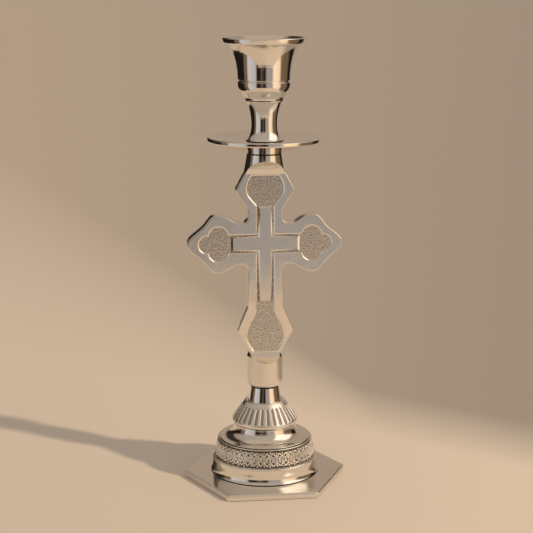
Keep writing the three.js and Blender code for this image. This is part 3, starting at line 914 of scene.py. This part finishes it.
def base_drum():
    seat = 1.1
    foot = PLATE_TOP + CAD_GAP + SEAM
    top = DRUM_TOP + CAD_GAP - SEAM
    turned(
        "base_drum", (17.3, foot), (29.1, foot), ((28.5, 4.6), (28.05, 6.0), (28.0, 8)), (27.9, 10.9),
        (28.0, 11.1), (28.0, 11.4), (27.6, 11.8), (drum_radius(BAND_LOW) - seat, 11.85),
        (drum_radius(BAND_TOP) - seat, 21.15), (drum_radius(BAND_TOP) - 0.1, BAND_TOP),
        ((25.3, 21.25), (25.2, 21.6), (24.8, top)), (10.3, top), (10.3, 19.2), (ROD_BORE, 19.2),
        (ROD_BORE, DRUM_RECESS), (17.3, DRUM_RECESS),
        material=TURNED_SILVER, body="stand", nodes=["base_drum"], segments=220, fillet=0.12, joints=[foot],
    )


WAVES = 24                               # waves of the ornament round the drum
BAND_RADIUS = 26.4                       # middle radius of the band's face
WAVE = 2 * math.pi * BAND_RADIUS / WAVES
WAVE_HEIGHT = 3.1


def almond(x, z, width, height):
    """Distance from points to the line of a pointed oval round the origin."""
    radius = (height * height + width * width) / (2 * width)
    return np.abs(np.hypot(np.abs(x) + radius - width, z) - radius)


def motif(x, z):
    """Distance to the lines of a plain guilloche.

    Two waves interlace, with a leaf in each eye and a pair of dots over and under each crossing."""
    slope = WAVE_HEIGHT * 2 * math.pi / WAVE
    turn = 2 * math.pi * x / WAVE
    steepness = np.sqrt(1 + (slope * np.cos(turn)) ** 2)
    parts = [np.abs(z - side * WAVE_HEIGHT * np.sin(turn)) / steepness for side in (1, -1)]
    leaf = 1.5
    in_eye = x % (WAVE / 2) - WAVE / 4
    parts.append(np.where(np.abs(z) < leaf, almond(in_eye, z, 0.5, leaf), FAR))
    off_crossing = (x + WAVE / 4) % (WAVE / 2) - WAVE / 4
    for level in (-3.4, -2.1, 2.1, 3.4):
        parts.append(np.hypot(off_crossing, z - level) - 0.1)
    return np.minimum.reduce(parts)


def ornament_band():
    """The chased band: a grid wrapped round the drum, raised where the ornament's strokes are."""
    columns, rows = 1440, 56
    levels = np.linspace(BAND_LOW + 0.05, BAND_TOP - 0.05, rows)
    angles = np.linspace(0, 2 * math.pi, columns, endpoint=False)
    middle = (BAND_LOW + BAND_TOP) / 2
    along = angles[None, :] * BAND_RADIUS
    flat = np.stack(np.broadcast_arrays(along, levels[:, None]), axis=-1).reshape(-1, 2)
    rough, drift, fine = (
        grain(flat, cell, seed).reshape(rows, columns) for cell, seed in ((0.7, 21), (2.2, 5), (0.4, 8))
    )
    away = motif(along + 0.3 * drift, (levels - middle)[:, None] + 0.25 * drift) + 0.14 * rough + 0.08 * fine
    raised = smooth(np.clip((0.6 - away) / 0.34, 0, 1))
    border = np.clip((np.abs(levels - middle)[:, None] - 4.35 + 0.1 * fine) / 0.25, 0, 1)
    raised = np.maximum(raised, border)
    face = drum_radius(levels)[:, None] - 0.58 + (0.6 + 0.06 * fine) * raised + 0.15 * rough * (1 - raised)
    face = np.minimum(face, drum_radius(levels)[:, None] + 0.05)
    outer = around(face, levels[:, None], angles)
    back = [(drum_radius(levels[-1]) - 1.05, levels[-1]), (drum_radius(levels[0]) - 1.05, levels[0])]
    vertices, faces = wrap(np.concatenate([outer, revolve([Vector(p) for p in back], columns)]))
    band = piece(
        "ornament_band", vertices, faces, CHASED, "stand", ["ornament_band"], "chased_silver", sharp=70
    )
    mark(band, vertices, np.concatenate([raised.ravel(), np.zeros(2 * columns)]))


def base_plate():
    """Hexagonal plate with a bevelled upper edge, and the dish in its middle that the nut hangs in."""
    corners = [(43.7, 0), (23.5, 40.5), (-23.5, 40.5), (-43.7, 0), (-23.5, -40.5), (23.5, -40.5)]
    clockwise = [Vector(c) for c in reversed(corners)]
    soft = rounded(clockwise, [True] * 6, 1.2, hold=False)
    section = rounded(*trace((0.0, 0.0), (0.0, 2.35), (0.75, PLATE_TOP), (1.1, PLATE_TOP)), 0.22, False)[1:]
    section = [Vector((0.25, 0)), Vector((0, 0.25))] + section
    rings = np.array([[(p.x, p.y, s.y) for p in inset(soft, s.x)] for s in section])
    vertices, faces = wrap(rings)
    faces = capped(faces, len(vertices), len(soft))
    plate = piece("base_plate", vertices, faces, SHEET_SILVER, "stand", ["base_plate"], sharp=25)
    combine(plate, "UNION", *plug((17, 1.5), (17, 16)))
    combine(plate, "DIFFERENCE", *plug((14, -1), (14, 12.4), (13.4, 13)))
    combine(plate, "DIFFERENCE", *plug((ROD_BORE, -1), (ROD_BORE, 17)))
    shade(plate.data, 25)


def plug(*outline, segments=96):
    """A closed turned shape under the outline given from its lowest to its highest point."""
    section = [Vector((0, outline[0][1]))] + [Vector(p) for p in outline] + [Vector((0, outline[-1][1]))]
    vertices, faces = wrap(revolve(section, segments))
    return vertices, faces[:-segments]


# ---------------------------------------------------------------- clamping parts under the foot
def washers_and_nut():
    bottom, top = low("clamp_washer"), high("clamp_washer")
    turned(
        "clamp_washer", (ROD_BORE, bottom), (11, bottom), (11, top), (ROD_BORE, top),
        material=ZINC, body="stand", nodes=["clamp_washer"], slot="zinc_steel", segments=96,
    )
    spring_washer()
    hex_nut()


def spring_washer():
    bottom, top = low("spring_washer"), high("spring_washer")
    outer, thickness = 7.05, 1.6
    gap = math.asin(0.45 / 5.7)
    upper = bottom + thickness
    section = rounded(*trace((ROD_BORE, bottom), (outer, bottom), (outer, upper), (ROD_BORE, upper)), 0.15)
    lift = (top - upper) / (2 * math.pi)
    split_ring("spring_washer", section, gap, 2 * math.pi - gap, "stand", lift)


def hex_nut():
    """An M8 nut: six flats, ends turned to a 30 degree chamfer, countersunk bore."""
    bottom, top = low("hex_nut"), high("hex_nut")
    half = 6.5
    corner = half / math.cos(math.pi / 6)
    face_radius, chamfer = 6.3, 0.72
    mouth, sink = 4.9, 0.7
    angles = np.linspace(0, 2 * math.pi, 144, endpoint=False)
    flats = half * hexagon(angles + math.pi / 6)
    steps = np.linspace(0, 1, 9)
    rows = [(face_radius - 0.1, bottom)]
    rows += [(corner * t + face_radius * (1 - t), bottom + chamfer * t) for t in steps]
    rows += [(corner * (1 - t) + face_radius * t, top - chamfer * (1 - t)) for t in steps]
    rows += [(face_radius - 0.1, top)]
    rows += [(mouth, top), (ROD_BORE, top - sink), (ROD_BORE, bottom + sink), (mouth, bottom)]
    rings = np.array([around(np.minimum(flats, radius), level, angles) for radius, level in rows])
    vertices, faces = wrap(rings)
    piece("hex_nut", vertices, faces, ZINC, "stand", ["hex_nut"], "zinc_steel", sharp=24)


# ---------------------------------------------------------------- camera, light, floor
CAMERA = {"place": (-80.4, -709.1, 267.5), "yaw": 6.55, "pitch": 12.05, "focal": 1379 / 533}


def camera():
    data = bpy.data.cameras.new("camera")
    data.sensor_width = 36
    data.lens = 36 * CAMERA["focal"]
    data.clip_start = 0.01
    obj = bpy.data.objects.new("camera", data)
    obj.location = Vector(CAMERA["place"]) * MM
    obj.rotation_euler = (math.radians(90 - CAMERA["pitch"]), 0, math.radians(-CAMERA["yaw"]))
    bpy.context.scene.collection.objects.link(obj)
    bpy.context.scene.camera = obj


SUN_SIDE = 55                            # degrees to the right of the front of the cross
SUN_HEIGHT = 24


def sun():
    data = bpy.data.lights.new("sun", "SUN")
    data.energy = 3.3
    data.angle = math.radians(3)
    data.color = (1.0, 0.80, 0.56)
    obj = bpy.data.objects.new("sun", data)
    side, height = math.radians(SUN_SIDE), math.radians(SUN_HEIGHT)
    level = math.cos(height)
    towards = Vector((math.sin(side) * level, -math.cos(side) * level, math.sin(height)))
    obj.rotation_mode = "QUATERNION"
    obj.rotation_quaternion = towards.to_track_quat("Z", "Y")
    obj.visible_glossy = False
    bpy.context.scene.collection.objects.link(obj)


def plain_floor():
    """A pale flat floor with painted light in its colour: warm and lit near the object, a painted shadow
    beyond a soft line that is darkest towards the back right.

    Only the part round the object shows in reflections: before and beside it the room takes over."""
    owner = bpy.data.materials.new("floor")
    nodes = Nodes(owner)
    place = nodes.add("ShaderNodeTexCoord").outputs["Object"]
    split = nodes.add("ShaderNodeSeparateXYZ", Vector=place)
    x, y = split.outputs[0], split.outputs[1]
    # painted shadow: past this soft line the floor's colour turns from lit to unlit, more gently towards the
    # left
    line = nodes.math("ADD", nodes.math("MULTIPLY", x, 0.9), y)
    soft = nodes.math("MULTIPLY", nodes.math("MAXIMUM", nodes.math("SUBTRACT", 0.08, x), 0.0), 3.0)
    shade = nodes.math("DIVIDE", nodes.math("SUBTRACT", line, 0.12), nodes.math("ADD", soft, 0.1), clamp=True)
    # painted light that changes from left to right as seen from the camera: the lit colour brightens, the
    # unlit colour darkens
    side_angle = nodes.math("DIVIDE", nodes.math("ADD", x, 0.08), nodes.math("ADD", y, 0.71))
    to_right = nodes.spread(side_angle, -0.06, 0.30, 0, 1)
    lit = nodes.blend(to_right, (0.62, 0.555, 0.485, 1), (0.72, 0.63, 0.545, 1))
    unlit = nodes.blend(to_right, (0.455, 0.395, 0.34, 1), (0.35, 0.315, 0.285, 1))
    colour = nodes.blend(shade, lit, unlit)
    shader = nodes.add("ShaderNodeBsdfPrincipled", Base_Color=colour, Roughness=0.75)
    nodes.add("ShaderNodeOutputMaterial", Surface=shader.outputs[0])
    side, front, back, far = 0.27, -0.47, 22, 9
    quads = {
        "floor": ((-side, front), (side, back)),
        "floor_front": ((-far, -far), (far, front)),
        "floor_left": ((-far, front), (-side, back)),
        "floor_right": ((side, front), (far, back)),
    }
    for name, ((x0, y0), (x1, y1)) in quads.items():
        mesh = bpy.data.meshes.new(name)
        mesh.from_pydata([(x0, y0, 0), (x1, y0, 0), (x1, y1, 0), (x0, y1, 0)], [], [(0, 1, 2, 3)])
        mesh.materials.append(owner)
        obj = bpy.data.objects.new(name, mesh)
        bpy.context.scene.collection.objects.link(obj)
        obj.visible_glossy = name == "floor"
        obj.visible_diffuse = name == "floor"


# the room as the polished metal shows it: (degrees from the camera round to the right, colour)
TAN = (0.40, 0.315, 0.24)
DARK = (0.014, 0.010, 0.008)
BROWN = (0.16, 0.105, 0.065)
ROOM = [
    (-180, TAN), (-172, TAN), (-166, DARK), (-97, DARK), (-93, (0.20, 0.13, 0.08)), (-79, BROWN),
    (-75, (0.62, 0.60, 0.58)), (-38, (0.50, 0.48, 0.46)), (-33, DARK), (-18, DARK), (-14, (0.13, 0.08, 0.05)),
    (-6, (0.10, 0.06, 0.04)), (-4, DARK), (6, DARK), (9, (0.36, 0.32, 0.29)), (34, (0.36, 0.33, 0.30)),
    (41, (1.15, 0.85, 0.58)), (68, (1.0, 0.70, 0.45)), (75, (0.19, 0.125, 0.075)), (110, BROWN), (116, DARK),
    (136, DARK), (141, TAN),
]
# the same above the screens, below the ceiling
UPPER = [
    (-180, TAN), (-172, TAN), (-166, (0.03, 0.022, 0.017)), (-140, (0.04, 0.03, 0.023)),
    (-126, (0.34, 0.27, 0.21)), (-70, (0.40, 0.35, 0.30)), (38, (0.46, 0.38, 0.31)),
    (48, (1.5, 1.3, 1.08)), (105, (1.2, 1.0, 0.80)),
    (120, (0.30, 0.22, 0.16)), (150, TAN),
]
ROOM_TURN = 6.5                          # degrees from the front of the cross to the camera
CEILING = (0.50, 0.41, 0.325, 1)
SCREEN_TOP = (11, 17)                    # degrees above the horizon over which the screens end
UPPER_TOP = (48, 62)                     # and over which the ceiling begins
BACKDROP = (0.40, 0.32, 0.255, 1)


def ramp(nodes, turn, stops):
    node = nodes.add("ShaderNodeValToRGB", Fac=turn)
    elements = node.color_ramp.elements
    while len(elements) < len(stops):
        elements.new(1)
    for element, (angle, colour) in zip(elements, stops):
        element.position = (angle + 180) / 360
        element.color = (*colour, 1)
    return node.outputs[0]


def room():
    """Even light on matt things, light and dark studio screens in reflections, and a plain backdrop."""
    world = bpy.data.worlds.new("studio")
    bpy.context.scene.world = world
    nodes = Nodes(world)
    way = nodes.add("ShaderNodeTexCoord").outputs["Generated"]
    x, y, z = nodes.add("ShaderNodeSeparateXYZ", Vector=way).outputs
    turn = nodes.math("ARCTAN2", x, nodes.math("MULTIPLY", y, -1))
    part = nodes.math("DIVIDE", turn, 2 * math.pi)
    turn = nodes.math("FRACT", nodes.math("ADD", part, 0.5 + ROOM_TURN / 360))
    screens = ramp(nodes, turn, ROOM)
    for limits, over in ((SCREEN_TOP, ramp(nodes, turn, UPPER)), (UPPER_TOP, CEILING)):
        edge = [math.sin(math.radians(a)) for a in limits]
        screens = nodes.blend(nodes.spread(z, *edge, 0, 1), screens, over)
    path = nodes.add("ShaderNodeLightPath")
    seen = nodes.blend(path.outputs["Is Glossy Ray"], (0.57, 0.50, 0.435, 1), screens)
    seen = nodes.blend(path.outputs["Is Camera Ray"], seen, BACKDROP)
    background = nodes.add("ShaderNodeBackground", Color=seen, Strength=1.0)
    nodes.add("ShaderNodeOutputWorld", Surface=background.outputs[0])


def build():
    camera()
    sun()
    room()
    plain_floor()
    candle_cup()
    cup_neck()
    drip_pan()
    retaining_ring()
    grub_screw()
    threaded("cup_stud", 3, 1.0, low("cup_stud"), high("cup_stud"), "cup")
    cross_body()
    base_neck()
    fluted_collar()
    base_bell()
    base_drum()
    ornament_band()
    base_plate()
    threaded("tie_rod", 4, 1.25, low("tie_rod"), high("tie_rod"), "stand")
    washers_and_nut()
    bpy.context.scene.view_settings.view_transform = "Standard"


build()
